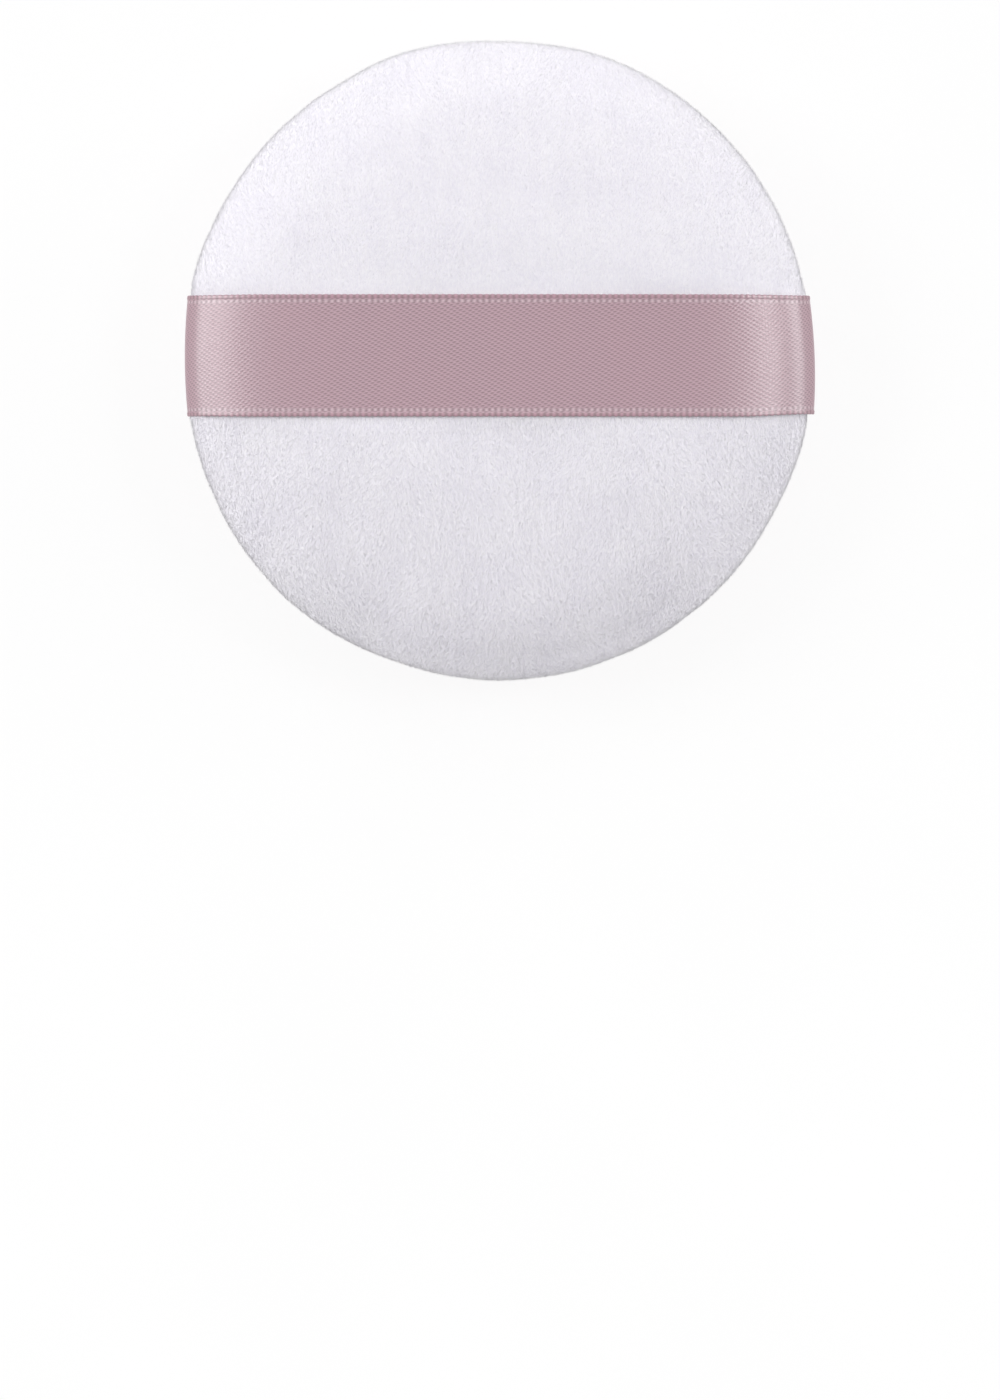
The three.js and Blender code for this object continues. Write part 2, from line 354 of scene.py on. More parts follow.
def coverSheet(velour, cells):
    # A disc point's distance from the middle is a share of the section's length, and its angle
    # is the angle round the puff. The sheet lies one pile depth inside the construction.
    c = cushion
    form = coverForm
    side = velour["side"]
    if side > 0:
        radius, rise, length = crossSection(c["crown"] - c["seam"], c["seamGap"])
    else:
        flat = c["seam"] - c["seamGap"]
        radius, rise, length = crossSection(flat + c["restingFlat"], c["seamGap"], flat)
    slope = unit(np.stack([np.gradient(radius), np.gradient(rise)], -1))
    mouth = length[-1] - c["allowance"]
    depth = velour["pile"] * (1 - smoothStep(*fromEnd(mouth, form["pileEnd"]), length))
    if side < 0:
        pressed = smoothStep(*form["pressedLevel"], c["seam"] - rise)
        depth = depth * (1 - form["pressedPile"] * pressed)
    inset = velour["inset"] * smoothStep(form["insetFrom"], 1, length / mouth)
    radius = radius + slope[:, 1] * depth - inset
    rise = rise - slope[:, 0] * depth
    x, y = discGrid(cells)
    rho = np.hypot(x, y) * length[-1]
    angle = np.arctan2(y, x)
    reach = np.interp(rho, length, radius)
    place = [reach * np.cos(angle) * drawIn, reach * np.sin(angle)]
    points = np.stack([*place, c["seam"] + side * np.interp(rho, length, rise)], -1)
    normals = gridNormals(points) * side
    offFloor = smoothStep(*form["restingLevel"], points[..., 2]) if side < 0 else 1.0

    onCrown = 1 - smoothStep(*fromEnd(mouth, form["reliefEnd"]), rho)
    under = underRibbon(place[1], side, ribbonPress["spread"])
    lumps = velour["lumps"] * waves(*place, velour["seed"], *form["lumpSizes"]) * (1 - under)
    puckers = waves(np.cos(angle), np.sin(angle), velour["seed"] + 1, *form["puckerSizes"])
    nearSeam = np.exp(-np.abs(mouth - rho) / form["puckerReach"])
    push = (lumps + velour["puckers"] * puckers * nearSeam) * onCrown
    if "dent" in velour:
        push = push - dentDepth(velour["dent"], angle, reach) * onCrown
    push = push * offFloor - ribbonPress["depth"] * under * onCrown
    way = np.sign(place[0])
    pulled = smoothStep(*ribbon["pullMargins"][side], beyondRibbon(place[1]))
    points[..., 0] -= way * rimPull(way, rho, length[-1]) * pulled
    free = smoothStep(mouth - swell["still"], mouth - swell["free"], rho) * offFloor
    free = free * (1 - underRibbon(place[1], side, swell["free"]))
    return {
        "points": points + normals * push[..., None],
        "depth": np.interp(rho, length, depth),
        "free": free[..., None],
    }


def finerGrid(values, cells):
    # Cubic interpolation of a square grid's values to a finer square grid.
    coarse = values.shape[0] - 1
    place = np.linspace(0, coarse, cells + 1)
    first = np.clip(place.astype(int), 0, coarse - 1)
    t = place - first
    weights = [
        (-t + 2 * t**2 - t**3) / 2,
        (2 - 5 * t**2 + 3 * t**3) / 2,
        (t + 4 * t**2 - 3 * t**3) / 2,
        (t**3 - t**2) / 2,
    ]
    matrix = np.zeros((cells + 1, coarse + 1))
    rows = np.arange(cells + 1)
    for step, weight in enumerate(weights):
        np.add.at(matrix, (rows, np.clip(first + step - 1, 0, coarse)), weight)
    return np.einsum("ai,ijk,bj->abk", matrix, values, matrix)


def swollen(velour):
    # How far cloth under pressure moves a coarse copy of the cover that is held at the seam, under
    # the ribbon and where the puff rests; evened out and capped, as an array of vectors.
    sheet = coverSheet(velour, swell["cells"])
    start = sheet["points"]
    size = swell["cells"] + 1
    quads = gridQuads(size, size)[:, :: velour["side"]]
    obj = makeMesh(velour["name"] + "_swell", start.reshape(-1, 3) * swell["enlarge"], quads)
    held = obj.vertex_groups.new(name="held")
    held.add(np.flatnonzero(sheet["free"].ravel() < swell["heldBelow"]).tolist(), 1.0, "REPLACE")
    cloth = obj.modifiers.new("cloth", "CLOTH")
    cloth.settings.quality = swell["quality"]
    cloth.settings.vertex_group_mass = "held"
    cloth.settings.use_pressure = True
    cloth.settings.uniform_pressure_force = swell["pressure"]
    cloth.settings.effector_weights.gravity = 0
    for number in range(1, swell["frames"] + 1):
        scene.frame_set(number)
    mesh = obj.evaluated_get(bpy.context.evaluated_depsgraph_get()).data
    ended = np.empty(size * size * 3, np.float32)
    mesh.vertices.foreach_get("co", ended)
    bpy.data.objects.remove(obj)
    scene.frame_set(1)
    move = ended.reshape(size, size, 3) / swell["enlarge"] - start
    for _ in range(swell["evenings"]):
        wide = np.pad(move, ((1, 1), (0, 0), (0, 0)), mode="edge")
        move = (wide[:-2] + 2 * wide[1:-1] + wide[2:]) / 4
        wide = np.pad(move, ((0, 0), (1, 1), (0, 0)), mode="edge")
        move = (wide[:, :-2] + 2 * wide[:, 1:-1] + wide[:, 2:]) / 4
    reach = np.linalg.norm(move, axis=-1, keepdims=True)
    print(f"{velour['name']}: cloth moved up to {reach.max() / mm:.2f} mm")
    return move * np.minimum(1, swell["cap"] / np.maximum(reach, 1e-9))


def makeCover(velour):
    # The sheet, moved by the cloth, and a second sheet one backing thickness inside it.
    sheet = coverSheet(velour, cushion["cells"])
    move = finerGrid(swollen(velour), cushion["cells"])
    sheet["points"] = sheet["points"] + move * sheet["free"]
    sheet["normals"] = gridNormals(sheet["points"]) * velour["side"]
    size = cushion["cells"] + 1
    count = size * size
    inside = sheet["points"] - sheet["normals"] * cushion["backing"]
    rim = gridRim(size)
    edge = np.stack([rim, np.roll(rim, -1)], -1)
    wall = np.concatenate([edge[:, ::-1], edge + count], -1)
    outer = gridQuads(size, size)
    faces = np.concatenate([outer, outer[:, ::-1] + count, wall])[:, :: velour["side"]]
    points = np.concatenate([sheet["points"].reshape(-1, 3), inside.reshape(-1, 3)])
    return makeMesh(velour["name"], points, faces), sheet


# Pile

fibreForm = {
    "lean": 66,  # degrees from upright
    "leanSpread": 6,
    "mostLean": 80,
    "pressedLean": 76,  # under the ribbon and where the puff rests
    "pressedMargin": 0.2 * mm,  # beyond a ribbon edge
    "restingLevel": (0.9 * mm, 0.3 * mm),  # heights between which the floor presses it
    "besideReach": 0.7 * mm,  # how far the ribbon's edges push the pile aside
    "besideTurn": 2.2,  # how far it turns away from an edge there
    "besideLean": 14,  # how much more it leans there
    "standing": {"share": 0.14, "lean": 28, "taller": 1.4},  # fibres that the brushing missed
    "napDrop": 0.25,  # share of the brushing that goes towards the seam
    "napWander": 0.45,  # radians
    "wanderSizes": (8 * mm, 30 * mm),
    "scatter": 0.4,  # sideways share of a fibre's own direction
    "shortest": 0.12 * mm,  # no fibres where the pile is shorter
    "heights": (0.82, 1.08),  # least and most, as shares of the pile's depth
    "slantLimit": 0.5,  # least cosine by which a leaning fibre is lengthened
    "thickness": 0.06 * mm,
    "thicknesses": (0.8, 1.2),  # least and most, as shares of it
    "sunk": 0.05 * mm,
    "floor": 0.04 * mm,  # lowest that a tip may reach
    "ownShade": 0.22,  # how far a fibre's shade strays from the sheet's
    "napShade": 0.36,  # how far it turns with the nap
    "streak": {"share": 0.22, "sizes": (1.2 * mm, 4 * mm), "count": 12, "stretch": 5},
    "mottle": {"share": 0.07, "sizes": (6 * mm, 20 * mm)},
    "ownTone": 0.26,
}
spikeMap = {  # a fibre on the bake map, where fibres of one tone share their place
    "margin": 0.05,
    "wide": (-0.03, 0.0, 0.03, 0.0),
    "tall": (0.05, 0.09, 0.05, 0.95),
}


def makePile(velour, sheet, number):
    # Roots are drawn evenly by area. A fibre is a slim three-sided spike from its root along the
    # leaning nap, as tall as the pile is deep there.
    form = fibreForm
    standing = form["standing"]
    side = velour["side"]
    seed = velour["seed"]
    count = velour["fibres"]
    draw = np.random.default_rng(100 * seed + number)
    p = sheet["points"]
    across = p[1:, 1:] - p[:-1, :-1]
    area = np.linalg.norm(np.cross(across, p[1:, :-1] - p[:-1, 1:]), axis=-1)
    area = area * (sheet["depth"][:-1, :-1] > form["shortest"])
    total = np.cumsum(area.ravel())
    cell = np.searchsorted(total, total[-1] * (np.arange(count) + draw.random(count)) / count)
    i, j = np.divmod(np.minimum(cell, area.size - 1), area.shape[1])
    s, t = draw.random((2, count, 1))

    def onSheet(values):
        low = values[i, j] * (1 - s) + values[i, j + 1] * s
        return low * (1 - t) + (values[i + 1, j] * (1 - s) + values[i + 1, j + 1] * s) * t

    root = onSheet(p)
    normal = unit(onSheet(sheet["normals"]))
    depth = onSheet(sheet["depth"][..., None])
    x, y = root[:, 0], root[:, 1]
    away = np.sign(y - ribbon["offset"])
    if side > 0:
        pressed = underRibbon(y, side, form["pressedMargin"])
        brushed = away
    else:
        pressed = smoothStep(*form["restingLevel"], root[:, 2])
        brushed = np.full(count, -1.0)
    beside = np.exp(-(beyondRibbon(y) / form["besideReach"]).clip(0)) * (1 - pressed) * (side > 0)

    # The nap: from the ribbon outwards on the white face, one way on the pink one.
    turn = form["napWander"] * waves(x, y, seed + 5, *form["wanderSizes"])
    drop = np.full(count, -form["napDrop"] * side)
    nap = np.stack([np.sin(turn), brushed * np.cos(turn), drop], -1)
    nap[:, 1] += form["besideTurn"] * beside * away
    nap = nap + form["scatter"] * draw.standard_normal((count, 3))
    nap = unit(nap - normal * (nap * normal).sum(-1, keepdims=True))
    stands = (draw.random(count) < standing["share"]) * (1 - pressed) * (1 - beside)
    lean = form["lean"] + (standing["lean"] - form["lean"]) * stands
    lean = lean + form["leanSpread"] * draw.standard_normal(count) + form["besideLean"] * beside
    lean = np.clip(lean + (form["pressedLean"] - lean) * pressed, 0, form["mostLean"])
    lean = np.radians(lean)[:, None]
    direction = normal * np.cos(lean) + nap * np.sin(lean)
    height = depth * draw.uniform(*form["heights"], (count, 1))
    height = height * (1 + (standing["taller"] - 1) * stands[:, None])
    tip = root + direction * height / np.maximum(np.cos(lean), form["slantLimit"])
    tip[:, 2] = np.maximum(tip[:, 2], form["floor"])

    first = unit(np.cross(direction, draw.standard_normal((count, 3))))
    second = np.cross(direction, first)
    half = form["thickness"] / 2 * draw.uniform(*form["thicknesses"], (count, 1))
    points = np.empty((count, 4, 3))
    for corner in range(3):
        a = 2 * np.pi * corner / 3
        ring = half * (np.cos(a) * first + np.sin(a) * second)
        points[:, corner] = root - normal * form["sunk"] + ring
    points[:, 3] = tip
    spike = np.array([[0, 2, 1], [0, 1, 3], [1, 2, 3], [2, 0, 3]])
    faces = (np.arange(count)[:, None, None] * 4 + spike).reshape(-1, 3)
    obj = makeMesh(f"{velour['name']}_pile_{number}", points.reshape(-1, 3), faces)

    # Light is soft between fibres, so a fibre takes its shade mostly from the sheet under it.
    shade = normal + form["napShade"] * nap + form["ownShade"] * draw.standard_normal((count, 3))
    obj.data.normals_split_custom_set_from_vertices(np.repeat(unit(shade), 4, axis=0).tolist())

    streak = form["streak"]
    mottle = form["mottle"]
    streaks = waves(x, y / streak["stretch"], seed + 7, *streak["sizes"], streak["count"])
    patches = waves(x, y, seed + 8, *mottle["sizes"])
    tone = 0.5 + streak["share"] * streaks + mottle["share"] * patches
    tone = np.clip(tone + form["ownTone"] * draw.standard_normal(count), 0, 1)
    addAttribute(obj, "tone", np.repeat(tone, 4))
    addAttribute(obj, "tip", np.tile([0, 0, 0, 1], count))
    margin = spikeMap["margin"]
    u = margin + (1 - 2 * margin) * tone[:, None, None] + np.array(spikeMap["wide"])[spike]
    v = np.broadcast_to(np.array(spikeMap["tall"])[spike], u.shape)
    addMap(obj, "OFBake", np.stack([u, v], -1))
    return obj


velourFinish = {
    "backing": {"Roughness": 0.92, "Sheen_Weight": 0.3, "Sheen_Roughness": 0.5, "Specular_IOR_Level": 0.2},
    "pile": {"Roughness": 0.85, "Sheen_Weight": 0.6, "Sheen_Roughness": 0.4, "Specular_IOR_Level": 0.2},
    "fine": {"size": 0.22 * mm, "scale": (1, 0.35, 1), "roughness": 0.6, "share": 0.7},
    "mottle": {"size": 6 * mm, "share": 0.3},
    "detail": 3.0,
    "contrast": (0.3, 0.7),
    "bump": (0.15 * mm, 0.6),
    "paintedTipLight": 0.7,  # how much paler a tip is than its root: painted light on the tips, painted shade at the roots
    "rootShare": 0.2,  # how pale a root is
}


def velourMaterial(velour):
    # Knitted backing seen between the fibres: fine nap streaks along Y and a faint mottle.
    look = velourFinish
    material, tree, shader = newMaterial(velour["name"], **look["backing"])
    streak, patch = look["fine"], look["mottle"]
    along = objectCoordinates(tree, streak["scale"])
    fine = noiseField(tree, along, streak["size"], look["detail"], streak["roughness"])
    mottle = noiseField(tree, objectCoordinates(tree), patch["size"], look["detail"])
    shade = maths(tree, "MULTIPLY", mottle, patch["share"])
    shade = maths(tree, "MULTIPLY_ADD", fine, streak["share"], shade)
    share = spread(tree, shade, *look["contrast"])
    colour = mixColours(tree, share, velour["root"], velour["tip"])
    tree.links.new(colour, shader.inputs["Base Color"])
    bumpFrom(tree, shader, fine, *look["bump"])
    return material


def pileMaterial(velour):
    # Darker roots and paler tips, painted shade and painted light down the pile, and a tone of its own for
    # each fibre.
    look = velourFinish
    material, tree, shader = newMaterial(velour["name"] + "_pile", **look["pile"])
    tip = maths(tree, "MULTIPLY", attributeValue(tree, "tip"), look["paintedTipLight"])
    tone = maths(tree, "ADD", attributeValue(tree, "tone"), look["rootShare"] - 0.5)
    settings = {"operation": "ADD", "use_clamp": True}
    share = addNode(tree, "ShaderNodeMath", settings, {0: tip, 1: tone}).outputs[0]
    colour = mixColours(tree, share, velour["root"], velour["tip"])
    tree.links.new(colour, shader.inputs["Base Color"])
    return material


def dressCover(velour):
    cover, sheet = makeCover(velour)
    cover.data.materials.append(velourMaterial(velour))
    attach(cover, "puff")
    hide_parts(velour["node"])
    finish = pileMaterial(velour)
    for number in range(1, velour["pilePieces"] + 1):
        pile = makePile(velour, sheet, number)
        pile.data.materials.append(finish)
        pile.visible_shadow = False  # light passes through the fine fibres to their neighbours
        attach(pile, "puff")
        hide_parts(velour["node"])
    print(f"{velour['name']}: cover and {velour['pilePieces']} pile pieces")
    return cover


# Finger ribbon: two halves that meet in the middle, each sewn into the seam at its end

ribbon = {
    "width": bandHigh[1] - bandLow[1] + 0.15 * mm,  # with its picks
    "offset": 0.48 * mm,  # how far it is sewn from the middle
    "thickness": 0.26 * mm,
    "leastEdge": 0.02,  # keeps a rounded edge from closing to a line
    "ring": 0.1 * mm,  # step along the ribbon
    "columns": (11, 12),  # steps across, in each edge band and between them
    "edgeBand": 0.765 * mm,
    "tailShort": 0.4 * mm,  # from the cut end to the raw edge of the covers
    "bow": 0.55,  # how far an end follows the round outline; 0 is straight, 1 is all the way
    "bowReach": (18 * mm, 39 * mm),  # from the middle to where the bow starts and is full
    "selvedge": 0.45 * mm,
    "ridge": 0.05 * mm,  # how far a selvedge stands up
    "ridgeFlank": (0.585 * mm, 0.36 * mm),  # from an edge to where the ridge starts and is full
    "pickPitch": 0.78 * mm,
    "pick": 0.05 * mm,  # depth of the picks along a selvedge
    "pickStray": 0.7,  # radians by which picks run ahead and behind
    "strayLength": 2.3 * mm,
    "picksFade": (7 * mm, 5 * mm),  # from the cut end to where picks fade and are gone
    "scallop": 0.03 * mm,
    "scallopBand": 0.25 * mm,
    "ends": {  # over the rim: how far the corners narrow, the end draws in, and its top corner more
        1: {"top": 0.1 * mm, "bottom": 0.35 * mm, "pull": 0.12 * mm, "slant": 0.28 * mm},
        -1: {"top": 0.1 * mm, "bottom": 0.08 * mm, "pull": 0.4 * mm, "slant": 0.0},
    },
    "cornerReach": (30 * mm, 41 * mm),  # from the middle to where corners start to narrow and end
    "pullReach": (10 * mm, 3 * mm),  # from the rim to where an end starts to draw it in and does so fully
    "pullMargins": {  # beyond a ribbon edge, to where the rim is left alone and is drawn in fully
        1: (-0.1 * mm, -0.7 * mm),  # on the ribbon face
        -1: (5 * mm, -3 * mm),  # on the powder face
    },
    "loose": 10 * mm,  # from the middle to where it lifts all the way
    "sharpAngle": 75,
}
satin = {
    "sockets": {"Anisotropic": 0.8, "Anisotropic_Rotation": 0.25, "Specular_IOR_Level": 1.0,
                "IOR": 1.8, "Sheen_Weight": 0.4},
    "roughness": (0.32, 0.95),  # seen squarely, and at a flat angle where only crowns of floats show
    "flatAngles": (0.3, 0.85),  # facing values between which it changes
    "rowPitch": 0.275,  # across the ribbon, in mm as on the weave map
    "rowRise": 0.1725,  # how far a row climbs for each mm along
    "floatPitch": 0.796,  # along the ribbon
    "rowShift": 0.5,  # share of a float that each row starts beyond the last
    "dip": (0.36, 0.42),  # half length and half width of the dip between floats, as shares
    "dipEdge": (0.1, 1.3),  # squared distances between which a dip rises to its float
    "stray": {"size": 0.9, "reach": 0.16, "rows": 0.4},  # of threads along, and a row's share of it
    "filament": (1.2, 16, 1),  # how often threads vary along and across, in each mm
    "relief": {"dips": 0.6, "rows": 0.35, "filaments": 0.5},
    "bump": (0.05 * mm, 0.55),
    "float": linear(164, 126, 139),
    # darker colour of the dips between floats: painted shade
    "gap": linear(104, 65, 79),
    "floatTone": (0.75, 0.5),  # least share of the float's colour, and what filaments add
    "tint": {"colour": linear(176, 118, 134), "share": 0.16, "size": 7 * mm, "scale": (1, 0.5, 1)},
    "edge": linear(162, 114, 129),
    "edgeGap": linear(112, 68, 82),
    "edgeSoftness": 0.06,
    "dot": linear(200, 172, 182),
    "dotGap": linear(116, 78, 90),
    "dotShare": 0.75,
    "dotRow": 0.38,  # from a selvedge to the row of dots beside it, in mm
    "dotWidth": (0.08, 0.26),  # from the row's middle to where dots fade and are gone
}


def makeRibbonHalf(name, side):
    # A flat section with rounded edges, carried along the cover's profile from the middle over the
    # rim and into the seam; the selvedges are ridges with a pick at each pitch.
    r = ribbon
    radius, rise, length = crossSection(cushion["crown"] - cushion["seam"], 0.0)
    end = length[-1] - r["tailShort"]
    along = np.linspace(0, end, int(end / r["ring"]) + 1)
    x = np.interp(along, length, radius) * drawIn - rimPull(side, along, length[-1])
    z = cushion["seam"] + np.interp(along, length, rise)
    tangent = unit(np.stack([np.gradient(x), np.gradient(z)], -1))[:, :, None, None]

    half = r["width"] / 2
    inner = half - r["edgeBand"]
    edgeColumns, middleColumns = r["columns"]
    edgeSteps = np.linspace(half, inner, edgeColumns)
    middleSteps = np.linspace(inner, -inner, middleColumns)[1:-1]
    across = np.concatenate([edgeSteps, middleSteps, -edgeSteps[::-1]])
    thin = r["thickness"] / 2
    ratio = np.clip((np.abs(across) - half + thin) / thin, 0, 1)
    top = thin * np.sqrt(np.maximum(1 - ratio**2, r["leastEdge"]))
    edge = smoothStep(*fromEnd(half, r["ridgeFlank"]), np.abs(across))
    phase = 2 * np.pi * along / r["pickPitch"] + r["pickStray"] * np.sin(along / r["strayLength"])
    shown = 1 - smoothStep(*fromEnd(end, r["picksFade"]), along)
    wave = (np.cos(phase) * shown)[:, None]
    lift = np.stack([top + edge * (r["ridge"] + r["pick"] / 2 * wave), -top + 0 * wave], 1)

    corner = r["ends"][side]
    nearEnd = smoothStep(*r["cornerReach"], along)[:, None]
    drawn = np.where(across > 0, corner["top"], corner["bottom"]) * across / half * nearEnd
    outmost = smoothStep(half - r["scallopBand"], half, np.abs(across)) * np.sign(across)
    y = (r["offset"] + across - drawn + r["scallop"] * wave * outmost)[:, None, :]
    bow = np.sqrt(1 - r["bow"] * (across / cushion["halfLength"]) ** 2)
    bow = 1 + (bow - 1) * smoothStep(*r["bowReach"], along)[:, None]
    slant = corner["slant"] * across / half * nearEnd
    px = (x[:, None, None] - tangent[:, 1] * lift) * bow[:, None, :] - slant[:, None, :]
    pz = z[:, None, None] + tangent[:, 0] * lift
    points = np.stack([side * px, np.broadcast_to(y, px.shape), pz], -1)

    # Vertices run ring by ring, the upper face first and then the underside.
    rings, columns = len(along), len(across)
    order = np.concatenate([np.arange(columns), columns + np.arange(columns)[::-1]])
    here = np.arange(rings)[:, None] * 2 * columns + order
    after = np.roll(here, -1, axis=1)
    sides = np.stack([here[:-1], here[1:], after[1:], after[:-1]], -1).reshape(-1, 4)
    k = np.arange(columns - 1)
    cap = np.stack([k, k + 1, k + 1 + columns, k + columns], -1)
    caps = np.concatenate([cap, cap[:, ::-1] + (rings - 1) * 2 * columns])
    faces = np.concatenate([sides, caps])[:, ::side]
    obj = makeMesh(name, points.reshape(-1, 3), faces)
    isCap = np.arange(len(faces)) >= len(sides)
    obj.data.polygons.foreach_set("use_smooth", ~isCap)
    obj.data.set_sharp_from_angle(angle=math.radians(r["sharpAngle"]))

    # Weave map: millimetres along +X and across.
    u = np.broadcast_to(side * along[:, None, None] / mm, px.shape).ravel()
    v = np.broadcast_to(across / mm, px.shape).ravel()
    addMap(obj, "weave", np.stack([u[faces], v[faces]], -1))
    # Bake map: the upper face over the lower half, the underside over the upper half; the faces
    # that join them at an edge, and the caps, lie in the margins.
    margin = 0.02
    share = np.broadcast_to(along[:, None, None] / end, px.shape).ravel()
    step = np.linspace(0, 0.5 - 2 * margin, columns)
    bakeV = np.broadcast_to(np.stack([margin + step, 1 - margin - step]), px.shape).ravel()[faces]
    bakeU = (margin + (1 - 2 * margin) * share)[faces]
    wraps = bakeV.max(1) - bakeV.min(1) > 0.7
    bakeV[wraps] = np.where(bakeV[wraps] > 0.5, margin / 4, bakeV[wraps])
    lowLayer = bakeV[isCap] > 0.5
    outward = np.where(bakeU[isCap] > 0.5, margin / 2, -margin / 2)
    bakeU[isCap] = bakeU[isCap] + outward * (1 + lowLayer)
    bakeV[isCap] = np.where(lowLayer, 1 - bakeV[isCap], bakeV[isCap])
    addMap(obj, "OFBake", np.stack([bakeU, bakeV], -1))
    return obj, end


def satinMaterial():
    # Satin weave on the weave map: slightly climbing rows whose floats start a shift beyond the
    # last row's, with a dark oval dip, painted shade, where threads go under; both selvedges are plain,
    # darker picks.
    s = satin
    material, tree, shader = newMaterial("satin_ribbon", **s["sockets"])
    facing = addNode(tree, "ShaderNodeLayerWeight").outputs["Facing"]
    rough = spread(tree, facing, *s["flatAngles"], *s["roughness"])
    tree.links.new(rough, shader.inputs["Roughness"])
    place = addNode(tree, "ShaderNodeUVMap", {"uv_map": "weave"}).outputs[0]
    split = addNode(tree, "ShaderNodeSeparateXYZ", None, {0: place})
    u, v = split.outputs[0], split.outputs[1]

    stray = maths(tree, "SUBTRACT", noiseField(tree, place, s["stray"]["size"]), 0.5)
    stray = maths(tree, "MULTIPLY", stray, s["stray"]["reach"])
    level = maths(tree, "SUBTRACT", v, maths(tree, "MULTIPLY", u, s["rowRise"]))
    level = maths(tree, "ADD", level, maths(tree, "MULTIPLY", stray, s["stray"]["rows"]))
    rows = maths(tree, "DIVIDE", level, s["rowPitch"])
    shift = maths(tree, "MULTIPLY", maths(tree, "FLOOR", rows), s["rowShift"])
    turn = maths(tree, "DIVIDE", maths(tree, "ADD", u, stray), s["floatPitch"])
    turn = maths(tree, "ADD", turn, shift)
    squares = []
    for value, reach in zip((turn, rows), s["dip"]):
        offMiddle = maths(tree, "SUBTRACT", maths(tree, "FRACT", value), 0.5)
        offMiddle = maths(tree, "DIVIDE", offMiddle, reach)
        squares.append(maths(tree, "MULTIPLY", offMiddle, offMiddle))
    weave = spread(tree, maths(tree, "ADD", *squares), *s["dipEdge"])
    drawn = addNode(tree, "ShaderNodeMapping", None, {"Vector": place, "Scale": s["filament"]}).outputs[0]
    filament = noiseField(tree, drawn, 1.0, 1.0)
    relief = maths(tree, "MULTIPLY", maths(tree, "SUBTRACT", 1.0, squares[1]), s["relief"]["rows"])
    relief = maths(tree, "MULTIPLY_ADD", weave, s["relief"]["dips"], relief)
    relief = maths(tree, "MULTIPLY_ADD", filament, s["relief"]["filaments"], relief)

    # Selvedges: picks in step with the ridges of the mesh.
    swing = maths(tree, "SINE", maths(tree, "DIVIDE", u, ribbon["strayLength"] / mm))
    swing = maths(tree, "MULTIPLY", swing, ribbon["pickStray"])
    turns = maths(tree, "MULTIPLY", u, 2 * math.pi * mm / ribbon["pickPitch"])
    picks = maths(tree, "COSINE", maths(tree, "ADD", turns, swing))
    picks = maths(tree, "MULTIPLY_ADD", picks, 0.5, 0.5)
    offCentre = maths(tree, "ABSOLUTE", v)
    border = (ribbon["width"] / 2 - ribbon["selvedge"]) / mm
    onEdge = spread(tree, offCentre, border - s["edgeSoftness"], border + s["edgeSoftness"])
    dotRow = maths(tree, "ABSOLUTE", maths(tree, "SUBTRACT", offCentre, border - s["dotRow"]))
    dotRow = spread(tree, dotRow, *s["dotWidth"], 1.0, 0.0)
    height = mixValues(tree, onEdge, relief, picks)

    least, added = s["floatTone"]
    # The dips are painted darker than the floats: painted shade in the hollows.
    share = maths(tree, "MULTIPLY", weave, maths(tree, "MULTIPLY_ADD", filament, added, least))
    plain = mixColours(tree, share, s["gap"], s["float"])
    tint = noiseField(tree, objectCoordinates(tree, s["tint"]["scale"]), s["tint"]["size"])
    tint = maths(tree, "MULTIPLY", tint, s["tint"]["share"])
    plain = mixColours(tree, tint, plain, s["tint"]["colour"])
    dots = mixColours(tree, picks, s["dotGap"], s["dot"])
    plain = mixColours(tree, maths(tree, "MULTIPLY", dotRow, s["dotShare"]), plain, dots)
    edge = mixColours(tree, picks, s["edgeGap"], s["edge"])
    tree.links.new(mixColours(tree, onEdge, plain, edge), shader.inputs["Base Color"])
    tangent = addNode(tree, "ShaderNodeTangent", {"direction_type": "UV_MAP", "uv_map": "weave"})
    tree.links.new(tangent.outputs[0], shader.inputs["Tangent"])
    bumpFrom(tree, shader, height, *s["bump"])
    return material


def dressRibbon():
    finish = satinMaterial()
    for name, side in (("right", 1), ("left", -1)):
        half, length = makeRibbonHalf(f"satin_ribbon_{name}", side)
        half.data.materials.append(finish)
        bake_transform(half)
        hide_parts("finger_ribbon", f"ribbon_tail_{name}")
        print(f"satin_ribbon_{name}: {length / mm:.1f} mm from the middle to its cut end")


# Pieces inside: foam core and threads keep their solids

foam = {
    "wall": linear(250, 243, 226),
    # darker colour in the cells' hollows: painted shade
    "poreShade": linear(222, 208, 180),
    "cell": 0.7 * mm,
    "poreEdge": (0.1, 0.6),  # from a cell's middle, as shares of its size
    "bump": 0.2 * mm,
}
thread = {
    "ply": 0.25 * mm,
    "stray": 1.5,
    "bump": 0.04 * mm,
    "colours": {  # lit and shaded side of a ply: painted light and painted shade
        "white_thread": (linear(236, 233, 236), linear(206, 202, 208)),
        "mauve_thread": (linear(176, 138, 150), linear(136, 98, 112)),
    },
}


def foamMaterial():
    # Cells of a soft foam, with pores darkened by painted shade.
    material, tree, shader = newMaterial("foam", Roughness=0.95)
    inputs = {"Vector": objectCoordinates(tree), "Scale": 1 / foam["cell"]}
    cells = addNode(tree, "ShaderNodeTexVoronoi", None, inputs).outputs["Distance"]
    share = spread(tree, cells, *foam["poreEdge"])
    tree.links.new(mixColours(tree, share, foam["poreShade"], foam["wall"]), shader.inputs["Base Color"])
    bumpFrom(tree, shader, cells, foam["bump"])
    return material


